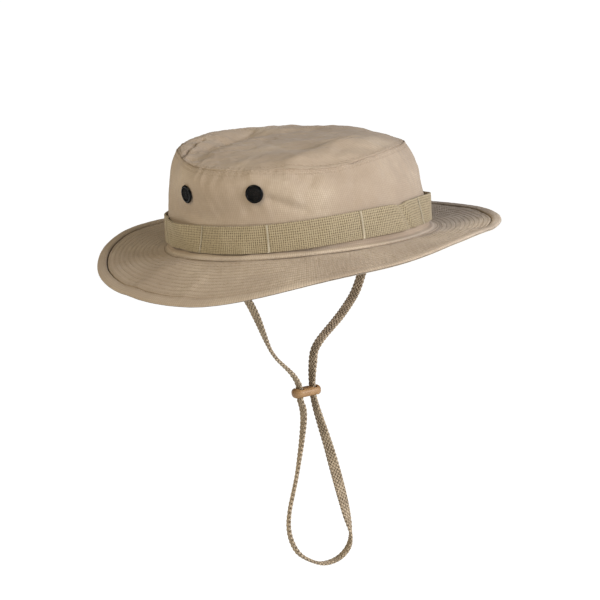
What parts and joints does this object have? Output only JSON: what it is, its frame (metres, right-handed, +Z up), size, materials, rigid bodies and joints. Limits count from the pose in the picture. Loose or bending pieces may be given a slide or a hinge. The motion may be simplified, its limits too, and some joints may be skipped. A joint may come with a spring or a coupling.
{
  "type": "bush hat",
  "caption": "Soft cloth bush hat with a round stitched brim, a webbing loop band, screened side vents and a flat braided chin cord hanging in a loop through a slider.",
  "frame": {"origin": "centre of the oval head opening, at the top face of the brim where the crown is sewn on", "axes": "+Z up, -Y towards the front of the hat, +X towards the wearer's left"},
  "size_m": [0.2781, 0.312, 0.3227],
  "materials": {
    "cloth": "fine plain-weave khaki cotton",
    "webbing": "coarse woven khaki webbing",
    "vents": "black enamel, half gloss",
    "braid": "flat herringbone braid",
    "slider": "smooth tan, half matt"
  },
  "bodies": {
    "root": {"brim": "cloth", "crown_side": "cloth", "crown_top": "cloth", "loop_band": "webbing", "vent_right_front": "vents", "vent_right_rear": "vents", "vent_left_front": "vents", "vent_left_rear": "vents", "chin_cord": "braid", "cord_slider": "slider"}
  },
  "joints": []
}
